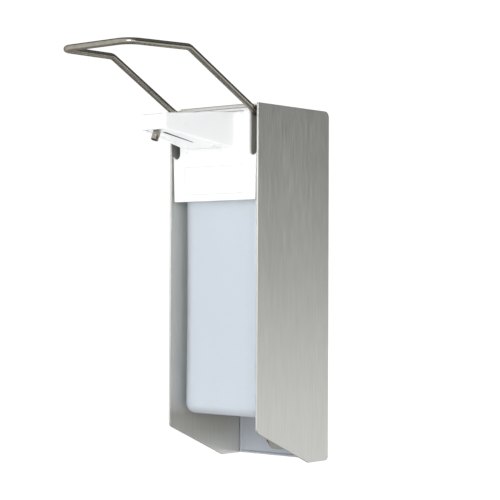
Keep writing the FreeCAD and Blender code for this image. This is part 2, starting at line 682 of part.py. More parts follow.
def head_plate():
    """Front plate with the two arm slots, narrower below, and a shallow label panel."""
    outline = [(-HEAD_HALF_BOTTOM, HEAD_BOTTOM), (HEAD_HALF_BOTTOM, HEAD_BOTTOM),
               (HEAD_HALF_TOP, SLOT_END), (HEAD_HALF_TOP, HEAD_TOP),
               (-HEAD_HALF_TOP, HEAD_TOP), (-HEAD_HALF_TOP, SLOT_END)]
    plate = prism_y(outline, HEAD_FRONT, HEAD_BACK)
    for side in (-1, 1):
        plate = plate.cut(rod_y(side * SLOT_X, SLOT_END, HEAD_FRONT - 1, HEAD_BACK + 1, SLOT_RADIUS))
        low, high = sorted((side * SLOT_INNER, side * (HEAD_HALF_TOP + 5)))
        plate = plate.cut(block(low, high, HEAD_FRONT - 1, HEAD_BACK + 1, SLOT_END, HEAD_TOP + 1))
    panel = block(-31, 31, HEAD_FRONT - 1, HEAD_FRONT + 0.4, 71.3, 99.4)
    panel = panel.makeFillet(3.0, edges_near(panel, along=Y_AXIS))
    return plate.cut(panel)


STRIP_FOOT = 5.2          # width of the foot that each arm guide stands on
STRIP_WALL = 1.2
STRIP_DEPTH = 13.0
STRIP_LOW = 99.0
STRIP_HIGH = 136.0


def arm_guides():
    """Angle strips behind the plate, one along the inner side of each arm slot."""
    foot = block(SLOT_INNER - STRIP_FOOT, SLOT_INNER, HEAD_BACK, HEAD_BACK + STRIP_WALL,
                 STRIP_LOW, STRIP_HIGH)
    wall = block(SLOT_INNER - STRIP_WALL, SLOT_INNER, HEAD_BACK, HEAD_BACK + STRIP_DEPTH,
                 STRIP_LOW, STRIP_HIGH)
    return both_sides(foot.fuse(wall).removeSplitter())


SPOUT_RUN = HEAD_FRONT - SPOUT_TIP_Y
SPOUT_FLARE = (SPOUT_ROOT_HALF - SPOUT_TIP_HALF) / SPOUT_RUN
FLOOR_SLOPE = (SPOUT_ROOT_LOW - SPOUT_TIP_LOW) / SPOUT_RUN
ROOF_SLOPE = (SPOUT_ROOT_HIGH - SPOUT_TIP_HIGH) / SPOUT_RUN
ROOT_FILLET = 8.0


def floor_height(y):
    """Height of the spout's underside plane at y."""
    return SPOUT_TIP_LOW + FLOOR_SLOPE * (y - SPOUT_TIP_Y)


def roof_height(y):
    """Height of the spout's top plane at y."""
    return SPOUT_TIP_HIGH + ROOF_SLOPE * (y - SPOUT_TIP_Y)


def half_width(y):
    """Half width of the spout at y."""
    return SPOUT_TIP_HALF + SPOUT_FLARE * (y - SPOUT_TIP_Y)


def closed_face(path, extra):
    """Face bounded by an open path and the extra points that lead back to its start."""
    first = path.OrderedVertexes[0].Point
    last = path.OrderedVertexes[-1].Point
    corners = [last] + [Vec(*p) for p in extra] + [first]
    back = [Part.LineSegment(a, b).toShape() for a, b in zip(corners, corners[1:])]
    return Part.Face(Part.Wire(path.OrderedEdges + back))


def spout_outside():
    """Wedge of the spout: plan outline and side outline, both flared into the plate, intersected."""
    wide = SPOUT_ROOT_HALF + 11
    sunk = HEAD_FRONT + HEAD_THICK / 2
    plan = rounded_path(
        [(-wide, HEAD_FRONT, 0), (-SPOUT_ROOT_HALF, HEAD_FRONT, 0), (-SPOUT_TIP_HALF, SPOUT_TIP_Y, 0),
         (SPOUT_TIP_HALF, SPOUT_TIP_Y, 0), (SPOUT_ROOT_HALF, HEAD_FRONT, 0), (wide, HEAD_FRONT, 0)],
        [ROOT_FILLET, 3.0, 3.0, ROOT_FILLET])
    plan = closed_face(plan, [(wide, sunk, 0), (-wide, sunk, 0)]).extrude(Vec(0, 0, 200))
    side = rounded_path(
        [(0, sunk, roof_height(sunk)), (0, SPOUT_TIP_Y, SPOUT_TIP_HIGH), (0, SPOUT_TIP_Y, SPOUT_TIP_LOW),
         (0, HEAD_FRONT, SPOUT_ROOT_LOW), (0, HEAD_FRONT, SPOUT_ROOT_LOW - 12)],
        [1.5, 0.8, ROOT_FILLET])
    side = closed_face(side, [(0, sunk, SPOUT_ROOT_LOW - 12)]).extrude(Vec(100, 0, 0))
    side.translate(Vec(-50, 0, 0))
    return plan.common(side)


def spout_cavity():
    """Space inside the spout, open below and through the plate."""
    front = SPOUT_TIP_Y + SPOUT_WALL
    rear = HEAD_BACK + 1
    near = half_width(front) - SPOUT_WALL
    far = half_width(rear) - SPOUT_WALL
    plan = prism_z([(-near, front), (near, front), (far, rear), (-far, rear)], 60, 200)
    roof = SPOUT_WALL
    side = prism_x([(front, 60), (front, roof_height(front) - roof), (rear, roof_height(rear) - roof),
                    (rear, 60)], -50, 50)
    solid_root = block(-60, 60, -93.0, HEAD_BACK + 5, 50, 107.5)
    return plan.common(side).cut(solid_root)


def front_head():
    """Plate and hollow spout in one moulding; the spout is open below for its floor."""
    head = head_plate().fuse(spout_outside()).removeSplitter()
    head = head.cut(spout_cavity())
    # Two bosses behind the plate take the screws of the bracket
    for side in (-1, 1):
        x = side * HEAD_SCREW_X
        head = head.fuse(rod_y(x, HEAD_SCREW_Z, HEAD_BACK, BRACKET_FRONT, 4.0))
        head = head.cut(rod_y(x, HEAD_SCREW_Z, HEAD_FRONT + 1.2, BRACKET_FRONT + 1, SCREW_CORE))
    return head.removeSplitter()


FLOOR_LIFT = 0.7          # the floor lies this far up inside the spout
FLOOR_THICK = 1.6
FLOOR_TOP = FLOOR_LIFT + FLOOR_THICK
FLOOR_REAR = -93.2
SLIT_HALF_FRONT = 2.0     # the slit narrows towards its rear end
SLIT_HALF_REAR = 1.0
SLIT_ROUND = 0.9
SLIT_FRONT = -145.4
SLIT_REAR = -112.0
SEAL_HALF = 3.0
SEAL_THICK = 0.8
SEAL_OVERLAP = 1.4        # how far the seal reaches past the slit's ends
SEAL_FIT = 0.1
SEAL_SUNK = 0.2           # the tongue stops this far inside the floor's underside


def floor_layer(half, front, rear, low, high):
    """Slab that follows the spout's underside plane, between two heights above it."""
    side = [(front, floor_height(front) + low), (front, floor_height(front) + high),
            (rear, floor_height(rear) + high), (rear, floor_height(rear) + low)]
    return prism_x(side, -half, half)


def slit_shape(inset):
    """Upright prism with the slit's tapered outline, drawn in by an inset on all sides."""
    front = SLIT_FRONT + inset
    rear = SLIT_REAR - inset
    outline = [(-SLIT_HALF_FRONT + inset, front), (SLIT_HALF_FRONT - inset, front),
               (SLIT_HALF_REAR - inset, rear), (-SLIT_HALF_REAR + inset, rear)]
    prism_shape = prism_z(outline, 90, 130)
    return prism_shape.makeFillet(SLIT_ROUND - inset, edges_near(prism_shape, along=Z_AXIS))


def spout_floor():
    """Insert that closes the spout from below, with a thin slit and a hole for the nozzle."""
    fit = 0.1
    front = SPOUT_TIP_Y + SPOUT_WALL + fit
    half_front = half_width(front) - SPOUT_WALL - fit
    half_rear = half_width(FLOOR_REAR) - SPOUT_WALL - fit
    plan = [(-half_front, front), (half_front, front), (half_rear, FLOOR_REAR), (-half_rear, FLOOR_REAR)]
    floor = floor_layer(HALF_W, front, FLOOR_REAR, FLOOR_LIFT, FLOOR_TOP).common(prism_z(plan, 90, 130))
    floor = floor.cut(slit_shape(0))
    mouth = Vec(*NOZZLE_MOUTH)
    run = Vec(*NOZZLE_BEND).sub(mouth).normalize()
    return floor.cut(Part.makeCylinder(3.2, 14.0, along_nozzle(-2.0), run))


def slit_seal():
    """Rubber strip on top of the floor, with a tongue that fills the slit from inside."""
    strip = floor_layer(SEAL_HALF, SLIT_FRONT - SEAL_OVERLAP, SLIT_REAR + SEAL_OVERLAP,
                        FLOOR_TOP, FLOOR_TOP + SEAL_THICK)
    tongue = floor_layer(SEAL_HALF, SLIT_FRONT, SLIT_REAR, FLOOR_LIFT + SEAL_SUNK, FLOOR_TOP)
    return strip.fuse(tongue.common(slit_shape(SEAL_FIT))).removeSplitter()


CLIP_PLACES = (-128.0, -103.0)
CLIP_HALF_WIDTH = 4.2
CLIP_HALF_LENGTH = 2.0
CLIP_MOUTH = 1.6          # half width of each clip's mouth over the tube


def tube_clips():
    """Two saddles that stand on the spout's floor, over the seal, and hold the outlet tube."""
    slope = math.atan2(NOZZLE_BEND[2] - RISER_BEND[2], NOZZLE_BEND[1] - RISER_Y)
    run = Vec(0, math.cos(slope), math.sin(slope))
    group = []
    for y in CLIP_PLACES:
        front = y - CLIP_HALF_LENGTH
        rear = y + CLIP_HALF_LENGTH
        level = RISER_BEND[2] + (y - RISER_Y) * math.tan(slope)
        side = [(front, floor_height(front) + FLOOR_TOP), (rear, floor_height(rear) + FLOOR_TOP),
                (rear, level + 1), (front, level + 1)]
        post = prism_x(side, -CLIP_HALF_WIDTH, CLIP_HALF_WIDTH)
        start = Vec(0, y, level).sub(Vec(run).multiply(6))
        post = post.cut(Part.makeCylinder(RISER_OUT, 12, start, run))
        post = post.cut(block(-CLIP_MOUTH, CLIP_MOUTH, front, rear, level, level + 5))
        post = post.cut(floor_layer(SEAL_HALF, front, rear, 0, FLOOR_TOP + SEAL_THICK))
        group.append(post)
    return Part.makeCompound(group)


# ---- bracket between the carrier and the head ------------------------------------------------

BRACKET_LEVEL = 78.0
BRACKET_SHEET = 2.0
BRACKET_HALF = 42.0
BRACKET_FRONT = -82.5
BRACKET_SCREWS = [(-14.0, 90.0), (14.0, 90.0)]
HEAD_SCREW_X = 33.0
HEAD_SCREW_Z = 88.0


def head_bracket():
    """Steel bracket: a rear flange on the carrier, a shelf round the neck, two ears at the head."""
    top = BRACKET_LEVEL + BRACKET_SHEET
    shelf = block(-BRACKET_HALF, BRACKET_HALF, BRACKET_FRONT, CARRIER_FRONT, BRACKET_LEVEL, top)
    shelf = shelf.cut(rod_z(0, PUMP_Y, BRACKET_LEVEL - 1, top + 1, 24.5))
    rear = block(-20, 20, CARRIER_FRONT - BRACKET_SHEET, CARRIER_FRONT, BRACKET_LEVEL, BRACKET_LEVEL + 20)
    body = shelf.fuse(rear)
    for side in (-1, 1):
        low, high = sorted((side * 27.0, side * 39.0))
        ear = block(low, high, BRACKET_FRONT, BRACKET_FRONT + BRACKET_SHEET, BRACKET_LEVEL, BRACKET_LEVEL + 17)
        ear = ear.makeFillet(4.0, edges_near(ear, z=BRACKET_LEVEL + 17, along=Y_AXIS))
        body = body.fuse(ear)
    body = body.removeSplitter()
    for x, z in BRACKET_SCREWS:
        body = body.cut(rod_y(x, z, CARRIER_FRONT - 5, CARRIER_FRONT + 1, SCREW_CORE))
    for side in (-1, 1):
        hole = rod_y(side * HEAD_SCREW_X, HEAD_SCREW_Z, BRACKET_FRONT - 1, BRACKET_FRONT + 5, SCREW_CORE)
        body = body.cut(hole)
    return body


def bracket_screws():
    """Two screws from the front through the bracket's rear flange into the carrier."""
    x, z = BRACKET_SCREWS[1]
    head_y = CARRIER_FRONT - BRACKET_SHEET - 2.2
    return both_sides(screw_y(x, z, head_y, 2.7, 2.2, SCREW_CORE, BRACKET_SHEET + 1.4))


def head_screws():
    """Two screws from behind through the bracket's ears into the head's bosses."""
    screw = screw_y(HEAD_SCREW_X, HEAD_SCREW_Z, 0, 2.7, 2.2, SCREW_CORE, BRACKET_SHEET + 3.5)
    screw.rotate(Vec(HEAD_SCREW_X, 0, HEAD_SCREW_Z), Z_AXIS, 180)
    screw.translate(Vec(0, BRACKET_FRONT + BRACKET_SHEET + 2.2, 0))
    return both_sides(screw)


# ---- export --------------------------------------------------------------------------------

NODES = {
    "housing_shell": housing_shell(),
    "back_carrier": back_carrier(),
    "rest_buffer": rest_buffer(),
    "bottle_rest": bottle_rest(),
    "carrier_rivets": rivets(),
    "bearing_block_left": bearing_block(-1),
    "bearing_block_right": bearing_block(1),
    "bearing_screws": bearing_screws(),
    "head_bracket": head_bracket(),
    "bracket_screws": bracket_screws(),
    "front_head": front_head(),
    "head_screws": head_screws(),
    "spout_floor": spout_floor(),
    "slit_seal": slit_seal(),
    "tube_clips": tube_clips(),
    "arm_guides": arm_guides(),
    "outlet_tube": outlet_tube(),
    "outlet_nozzle": outlet_nozzle(),
    "soap_bottle": soap_bottle(),
    "neck_gasket": neck_gasket(),
    "pump_collar": pump_collar(),
    "pump_cylinder": pump_cylinder(),
    "rod_guide": rod_guide(),
    "valve_block": valve_block(),
    "ball_cage": ball_cage(),
    "delivery_valve": delivery_valve(),
    "dip_tube": dip_tube(),
    "dip_strainer": dip_strainer(),
    "return_spring": return_spring(),
    "crosshead": crosshead(),
    "piston_rod": piston_rod(),
    "rod_nut": rod_nut(),
    "piston": piston(),
    "piston_seal": piston_seal(),
    "suction_ball": ball(PUMP_Y, SUCTION_SEAT),
    "delivery_ball": ball(RISER_Y, DELIVERY_SEAT),
    "lever_arm": lever_arm(),
    "retaining_rings": retaining_rings(),
}

os.makedirs("parts", exist_ok=True)
for name, shape in NODES.items():
    shape.exportStep(os.path.join("parts", name + ".step"))
    box = shape.BoundBox
    print("%-22s solids %d valid %s volume %9.1f  x %7.1f %7.1f  y %7.1f %7.1f  z %7.1f %7.1f" % (
        name, len(shape.Solids), shape.isValid(), shape.Volume,
        box.XMin, box.XMax, box.YMin, box.YMax, box.ZMin, box.ZMax))
print("stroke of the crosshead %.2f mm" % STROKE)
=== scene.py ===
import math

import bmesh
import bpy
import numpy as np
from mathutils import Matrix, Vector


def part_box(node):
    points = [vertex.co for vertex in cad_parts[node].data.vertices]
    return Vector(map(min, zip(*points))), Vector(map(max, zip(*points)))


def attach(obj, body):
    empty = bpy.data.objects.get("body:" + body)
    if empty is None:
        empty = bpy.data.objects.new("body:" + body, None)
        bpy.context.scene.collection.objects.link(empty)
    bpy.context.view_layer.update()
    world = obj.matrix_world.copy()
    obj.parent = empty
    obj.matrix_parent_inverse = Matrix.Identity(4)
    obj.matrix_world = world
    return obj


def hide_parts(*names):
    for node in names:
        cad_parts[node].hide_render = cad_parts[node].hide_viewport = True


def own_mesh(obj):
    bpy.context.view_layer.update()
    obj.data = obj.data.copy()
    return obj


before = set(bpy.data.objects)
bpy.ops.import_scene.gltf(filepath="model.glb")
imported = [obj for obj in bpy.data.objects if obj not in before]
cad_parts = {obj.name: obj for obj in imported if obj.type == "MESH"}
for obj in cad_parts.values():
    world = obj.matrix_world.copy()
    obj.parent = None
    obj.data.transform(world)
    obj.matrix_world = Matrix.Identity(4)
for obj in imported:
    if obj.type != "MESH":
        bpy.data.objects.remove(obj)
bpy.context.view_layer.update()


# ---- Camera ------------------------------------------------------------------------------
# The viewer stands to the right of the dispenser, at about 40 degrees from straight ahead and
# level with its middle. The lens is long, so the upright edges stay nearly parallel.

view_turn = math.radians(40.252)
view_rise = math.radians(1.1535)
view_roll = math.radians(0.2505)
view_place = Vector((0.81407, -1.00521, 0.00295))
view_ahead = Vector((-math.sin(view_turn) * math.cos(view_rise),
                     math.cos(view_turn) * math.cos(view_rise),
                     math.sin(view_rise)))
level_right = Vector((math.cos(view_turn), math.sin(view_turn), 0.0))
level_up = level_right.cross(view_ahead)
view_right = level_right * math.cos(view_roll) + level_up * math.sin(view_roll)
view_up = level_up * math.cos(view_roll) - level_right * math.sin(view_roll)

camera_data = bpy.data.cameras.new("camera")
camera_data.sensor_width = 36.0
camera_data.lens = 113.04
camera_data.clip_end = 50.0
camera = bpy.data.objects.new("camera", camera_data)
bpy.context.scene.collection.objects.link(camera)
turn = Matrix((view_right, view_up, -view_ahead)).transposed()
camera.matrix_world = Matrix.Translation(view_place) @ turn.to_4x4()
bpy.context.scene.camera = camera


# ---- Studio ------------------------------------------------------------------------------
# A white table top studio: a pale floor far below the dispenser and a white backdrop. Soft
# lamps stand in front to the left and to the right, at the right side, and low in front.

bpy.context.scene.view_settings.view_transform = "Standard"


def studio_surround():
    """World light that depends on direction only. The backdrop that shows is plain white. What
    lights the dispenser is white from the front and from below, dark from behind, and grey
    from the ceiling. Each part is a smooth step of the direction's dot product with a chosen
    direction."""
    world = bpy.data.worlds.new("studio_surround")
    bpy.context.scene.world = world
    world.use_nodes = True
    nodes, links = world.node_tree.nodes, world.node_tree.links
    nodes.clear()
    direction = nodes.new("ShaderNodeTexCoord")

    def share(axis, low, high):
        """Smooth step from 0 to 1 of the direction's dot product with an axis."""
        dot = nodes.new("ShaderNodeVectorMath")
        dot.operation = "DOT_PRODUCT"
        dot.inputs[1].default_value = axis
        links.new(direction.outputs["Generated"], dot.inputs[0])
        step = nodes.new("ShaderNodeMapRange")
        step.interpolation_type = "SMOOTHSTEP"
        step.inputs["From Min"].default_value = low
        step.inputs["From Max"].default_value = high
        links.new(dot.outputs["Value"], step.inputs["Value"])
        return step.outputs["Result"]

    def blend(factor, first, second):
        """Mix of two lights, each a colour or the result of an earlier mix."""
        mix = nodes.new("ShaderNodeMix")
        mix.data_type = "RGBA"
        links.new(factor, mix.inputs["Factor"])
        for socket, light in (("A", first), ("B", second)):
            if isinstance(light, tuple):
                mix.inputs[socket].default_value = (*light, 1.0)
            else:
                links.new(light, mix.inputs[socket])
        return mix.outputs["Result"]

    white = (1.04, 1.04, 1.04)
    upper = blend(share((0.45, 0.89, 0.0), -0.35, 0.45), white, (0.035, 0.035, 0.033))
    upper = blend(share((0.0, 0.42, 0.90), 0.35, 0.80), upper, (0.24, 0.24, 0.24))
    lit = blend(share((0.0, 0.0, 1.0), -0.12, 0.06), white, upper)
    ray = nodes.new("ShaderNodeLightPath")
    light = nodes.new("ShaderNodeBackground")
    links.new(blend(ray.outputs["Is Camera Ray"], lit, white), light.inputs["Color"])
    out = nodes.new("ShaderNodeOutputWorld")
    links.new(light.outputs["Background"], out.inputs["Surface"])


def soft_lamp(name, place, target, size, power):
    """Square area lamp at a place, turned to face a target."""
    data = bpy.data.lights.new(name, "AREA")
    data.shape = "SQUARE"
    data.size = size
    data.energy = power
    lamp = bpy.data.objects.new(name, data)
    bpy.context.scene.collection.objects.link(lamp)
    aim = (Vector(target) - Vector(place)).to_track_quat("-Z", "Y")
    lamp.matrix_world = Matrix.Translation(Vector(place)) @ aim.to_matrix().to_4x4()


studio_surround()
soft_lamp("front_lamp", (-0.9, -1.6, 0.6), (0.0, -0.1, 0.0), 1.1, 0.2)
soft_lamp("right_lamp", (1.2, -1.5, 0.35), (0.0, -0.1, 0.05), 0.6, 10.0)
soft_lamp("side_lamp", (1.7, -0.8, 0.3), (0.0, -0.1, 0.1), 0.7, 2.5)
soft_lamp("low_lamp", (0.4, -1.1, -1.1), (0.0, -0.1, 0.05), 0.9, 0.8)


def studio_floor():
    """Pale paper floor well below the dispenser: rings of points round a middle point. Straight
    below, a grey cloth shows in bright metal only, so that the metal keeps a dark lower edge."""
    around = np.linspace(0.0, 2 * np.pi, 97)[:-1]
    reach = np.array([2.0, 6.0, 20.0])[:, None]
    points = np.stack([reach * np.cos(around), reach * np.sin(around),
                       np.full((3, len(around)), -0.9)], -1).reshape(-1, 3)
    points = np.concatenate([[[0.0, 0.0, -0.9]], points])
    step = np.arange(len(around))
    after = (step + 1) % len(around)
    faces = np.stack([np.zeros_like(step), 1 + step, 1 + after], -1).tolist()
    for base in (1, 1 + len(around)):
        low, high = base + step, base + len(around) + step
        faces += np.stack([low, high, base + len(around) + after, base + after], -1).tolist()
    mesh = bpy.data.meshes.new("studio_floor")
    mesh.from_pydata(points.tolist(), [], faces)
    floor = bpy.data.objects.new("studio_floor", mesh)
    bpy.context.scene.collection.objects.link(floor)
    paper = bpy.data.materials.new("white_paper")
    paper.use_nodes = True
    shader = paper.node_tree.nodes["Principled BSDF"]
    shader.inputs["Base Color"].default_value = (0.80, 0.80, 0.80, 1.0)
    shader.inputs["Roughness"].default_value = 0.9
    shader.inputs["Emission Color"].default_value = (1.0, 1.0, 1.0, 1.0)
    shader.inputs["Emission Strength"].default_value = 0.72
    nodes, links = paper.node_tree.nodes, paper.node_tree.links
    spot = nodes.new("ShaderNodeTexCoord")
    reach_out = nodes.new("ShaderNodeVectorMath")
    reach_out.operation = "LENGTH"
    links.new(spot.outputs["Object"], reach_out.inputs[0])
    near = nodes.new("ShaderNodeMapRange")
    near.interpolation_type = "SMOOTHSTEP"
    near.inputs["From Min"].default_value = 1.1
    near.inputs["From Max"].default_value = 2.6
    near.inputs["To Min"].default_value = 1.0
    near.inputs["To Max"].default_value = 0.0
    links.new(reach_out.outputs["Value"], near.inputs["Value"])
    ray = nodes.new("ShaderNodeLightPath")
    covered = nodes.new("ShaderNodeMath")
    covered.operation = "MULTIPLY"
    links.new(near.outputs["Result"], covered.inputs[0])
    links.new(ray.outputs["Is Glossy Ray"], covered.inputs[1])
    cloth = nodes.new("ShaderNodeEmission")
    cloth.inputs["Color"].default_value = (0.36, 0.36, 0.36, 1.0)
    cover = nodes.new("ShaderNodeMixShader")
    links.new(covered.outputs["Value"], cover.inputs["Fac"])
    links.new(shader.outputs["BSDF"], cover.inputs[1])
    links.new(cloth.outputs["Emission"], cover.inputs[2])
    links.new(cover.outputs["Shader"], nodes["Material Output"].inputs["Surface"])
    mesh.materials.append(paper)


studio_floor()


# ---- Housing -----------------------------------------------------------------------------
# One folded sheet of brushed stainless steel, 1.5 mm thick: back, two sides and top. The sheet
# is brushed up and down before it is bent, and its cut edges are broken with a fine file.

def softened_copy(node, name, edge_radius, steps=2):
    """Copy of a CAD node's mesh with its loose triangles joined, its flat faces merged and its
    sharp edges rounded to a small radius."""
    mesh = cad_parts[node].data.copy()
    mesh.name = name
    mesh.materials.clear()
    work = bmesh.new()
    work.from_mesh(mesh)
    bmesh.ops.remove_doubles(work, verts=work.verts, dist=2e-6)
    bmesh.ops.dissolve_limit(work, angle_limit=math.radians(0.4), verts=work.verts,
                             edges=work.edges)
    work.to_mesh(mesh)
    work.free()
    mesh.shade_smooth()
    piece = bpy.data.objects.new(name, mesh)
    bpy.context.scene.collection.objects.link(piece)
    bevel = piece.modifiers.new("broken_edges", "BEVEL")
    bevel.width = edge_radius
    bevel.segments = steps
    bevel.limit_method = "ANGLE"
    bevel.angle_limit = math.radians(32)
    bevel.use_clamp_overlap = False
    level = piece.modifiers.new("flat_faces", "WEIGHTED_NORMAL")
    level.keep_sharp = True
    return piece


def material_base(name, colour, metallic, roughness):
    """New material with one Principled shader; returns it with its nodes, links and shader."""
    material = bpy.data.materials.new(name)
    material.use_nodes = True
    tree = material.node_tree
    shader = tree.nodes["Principled BSDF"]
    shader.inputs["Base Color"].default_value = (*colour, 1.0)
    shader.inputs["Metallic"].default_value = metallic
    shader.inputs["Roughness"].default_value = roughness
    return material, tree.nodes, tree.links, shader


def stretched_noise(nodes, links, scale, detail, name):
    """Noise read from Object coordinates scaled separately along X, Y and Z, per metre."""
    place = nodes.new("ShaderNodeTexCoord")
    mapping = nodes.new("ShaderNodeMapping")
    mapping.inputs["Scale"].default_value = scale
    links.new(place.outputs["Object"], mapping.inputs["Vector"])
    noise = nodes.new("ShaderNodeTexNoise")
    noise.name = name
    noise.inputs["Scale"].default_value = 1.0
    noise.inputs["Detail"].default_value = detail
    noise.inputs["Roughness"].default_value = 0.62
    links.new(mapping.outputs["Vector"], noise.inputs["Vector"])
    return noise


def ranged(nodes, links, source, low, high, spread=0.22):
    """Map a noise value, centred on one half with the given spread, to low..high."""
    span = nodes.new("ShaderNodeMapRange")
    span.inputs["From Min"].default_value = 0.5 - spread
    span.inputs["From Max"].default_value = 0.5 + spread
    span.inputs["To Min"].default_value = low
    span.inputs["To Max"].default_value = high
    links.new(source, span.inputs["Value"])
    return span.outputs["Result"]


def tinted(nodes, links, source, dark, light, spread=0.22):
    """Mix two colours by a noise value."""
    mix = nodes.new("ShaderNodeMix")
    mix.data_type = "RGBA"
    mix.inputs["A"].default_value = (*dark, 1.0)
    mix.inputs["B"].default_value = (*light, 1.0)
    links.new(ranged(nodes, links, source, 0.0, 1.0, spread), mix.inputs["Factor"])
    return mix.outputs["Result"]


def bumped(nodes, links, source, distance, strength, below=None):
    """Bump from a height; a second bump can lie below it."""
    bump = nodes.new("ShaderNodeBump")
    bump.inputs["Distance"].default_value = distance
    bump.inputs["Strength"].default_value = strength
    links.new(source, bump.inputs["Height"])
    if below is not None:
        links.new(below, bump.inputs["Normal"])
    return bump.outputs["Normal"]


def brushed_stainless(name, dark, light, roughness):
    """Stainless sheet brushed along Z: long fine streaks of two widths in colour and bump, the
    wider ones in roughness too, broad cloudy patches of gloss, and highlights drawn out across
    the brushing."""
    material, nodes, links, shader = material_base(name, light, 1.0, roughness)
    fine = stretched_noise(nodes, links, (2600.0, 2600.0, 22.0), 2.0, "hair_lines")
    middle = stretched_noise(nodes, links, (1800.0, 1800.0, 45.0), 1.0, "brush_marks")
    cloud = stretched_noise(nodes, links, (26.0, 26.0, 9.0), 0.5, "handling_clouds")
    streaks = nodes.new("ShaderNodeMath")
    streaks.operation = "ADD"
    links.new(ranged(nodes, links, fine.outputs["Fac"], 0.0, 0.55), streaks.inputs[0])
    links.new(ranged(nodes, links, middle.outputs["Fac"], 0.0, 0.45), streaks.inputs[1])
    colour = nodes.new("ShaderNodeMix")
    colour.data_type = "RGBA"
    colour.inputs["A"].default_value = (*dark, 1.0)
    colour.inputs["B"].default_value = (*light, 1.0)
    links.new(streaks.outputs["Value"], colour.inputs["Factor"])
    links.new(colour.outputs["Result"], shader.inputs["Base Color"])
    rough = nodes.new("ShaderNodeMath")
    rough.operation = "ADD"
    links.new(ranged(nodes, links, middle.outputs["Fac"], roughness - 0.025, roughness + 0.025),
              rough.inputs[0])
    links.new(ranged(nodes, links, cloud.outputs["Fac"], -0.008, 0.01), rough.inputs[1])
    links.new(rough.outputs["Value"], shader.inputs["Roughness"])
    grain = bumped(nodes, links, middle.outputs["Fac"], 0.00002, 0.12)
    grain = bumped(nodes, links, fine.outputs["Fac"], 0.00004, 0.5, grain)
    links.new(grain, shader.inputs["Normal"])
    shader.inputs["Anisotropic"].default_value = 0.85
    shader.inputs["Anisotropic Rotation"].default_value = 0.0
    facing = nodes.new("ShaderNodeNewGeometry")
    across = nodes.new("ShaderNodeVectorMath")
    across.operation = "CROSS_PRODUCT"
    across.inputs[1].default_value = (0.0, 0.03, 1.0)
    links.new(facing.outputs["Normal"], across.inputs[0])
    links.new(across.outputs["Vector"], shader.inputs["Tangent"])
    return material


def finish_piece(piece, body, slot, material, *nodes_replaced):
    """Give a new piece its material and its body, and hide the CAD nodes it stands for. The slot is
    not used.
    """
    piece.data.materials.append(material)
    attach(piece, body)
    if nodes_replaced:
        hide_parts(*nodes_replaced)
    return piece


housing_steel = brushed_stainless("brushed_stainless_sheet", (0.56, 0.56, 0.53),
                                  (0.69, 0.69, 0.66), 0.40)
housing = softened_copy("housing_shell", "housing_sheet", 0.0003)
finish_piece(housing, "housing", "brushed_stainless", housing_steel, "housing_shell")


# ---- Carrier, bottle rest and their small parts --------------------------------------------
# The carrier is a flat white injection moulding, riveted inside the back, coloured a cool grey as
# painted shade. The bottle rest is a folded stainless bracket on it, coloured darker as painted
# shade, with a black rubber pad that paints the shade in the gap beside its tongue. The arm guides
# behind the head are strips folded from the same kind of sheet, coloured darker as painted shade.

def moulded_plastic(name, colour, roughness, grain_size, grain_depth, mottle=0.03):
    """Moulded plastic: faint mottling, a fine spark-eroded grain and slow waves of gloss."""
    material, nodes, links, shader = material_base(name, colour, 0.0, roughness)
    cloud = stretched_noise(nodes, links, (38.0, 38.0, 38.0), 2.0, "mould_clouds")
    grain = stretched_noise(nodes, links, (1 / grain_size,) * 3, 2.0, "mould_grain")
    dark = tuple(max(0.0, part - mottle) for part in colour)
    links.new(tinted(nodes, links, cloud.outputs["Fac"], dark, colour), shader.inputs["Base Color"])
    gloss = ranged(nodes, links, cloud.outputs["Fac"], roughness - 0.05, roughness + 0.06)
    links.new(gloss, shader.inputs["Roughness"])
    wave = bumped(nodes, links, cloud.outputs["Fac"], 0.0002, 0.12)
    skin = bumped(nodes, links, grain.outputs["Fac"], grain_depth, 0.5, wave)
    links.new(skin, shader.inputs["Normal"])
    return material


def turned_steel(name, dark, light, roughness, grain=1200.0):
    """Plain machine-made steel: fine scratches in no set direction and patches of duller metal."""
    material, nodes, links, shader = material_base(name, light, 1.0, roughness)
    scratch = stretched_noise(nodes, links, (grain, grain, grain * 0.35), 4.0, "fine_scratches")
    patch = stretched_noise(nodes, links, (130.0, 130.0, 130.0), 2.0, "dull_patches")
    links.new(tinted(nodes, links, patch.outputs["Fac"], dark, light), shader.inputs["Base Color"])
    rough = ranged(nodes, links, scratch.outputs["Fac"], roughness - 0.07, roughness + 0.09)
    links.new(rough, shader.inputs["Roughness"])
    links.new(bumped(nodes, links, scratch.outputs["Fac"], 0.00003, 0.5), shader.inputs["Normal"])
    return material


def matt_rubber():
    """Black moulded rubber with a dusty bloom and a fine grain."""
    material, nodes, links, shader = material_base("black_rubber", (0.02, 0.02, 0.022), 0.0, 0.7)
    bloom = stretched_noise(nodes, links, (220.0, 220.0, 220.0), 4.0, "bloom")
    dusty = tinted(nodes, links, bloom.outputs["Fac"], (0.012, 0.012, 0.013), (0.035, 0.035, 0.036))
    links.new(dusty, shader.inputs["Base Color"])
    links.new(ranged(nodes, links, bloom.outputs["Fac"], 0.62, 0.82), shader.inputs["Roughness"])
    links.new(bumped(nodes, links, bloom.outputs["Fac"], 0.00008, 0.5), shader.inputs["Normal"])
    return material


def dress(material, *names):
    """Give CAD nodes that stay as they are a finished material."""
    for name in names:
        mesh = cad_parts[name].data
        mesh.materials.clear()
        mesh.materials.append(material)


# Painted shade: the white carrier moulding is coloured a cool grey for the shade it sits in deep
# inside the housing.
carrier_plastic = moulded_plastic("carrier_moulding", (0.42, 0.45, 0.49), 0.55, 0.00045, 0.00004)
carrier = softened_copy("back_carrier", "carrier_plate", 0.00035)
finish_piece(carrier, "housing", "carrier_plastic", carrier_plastic, "back_carrier")

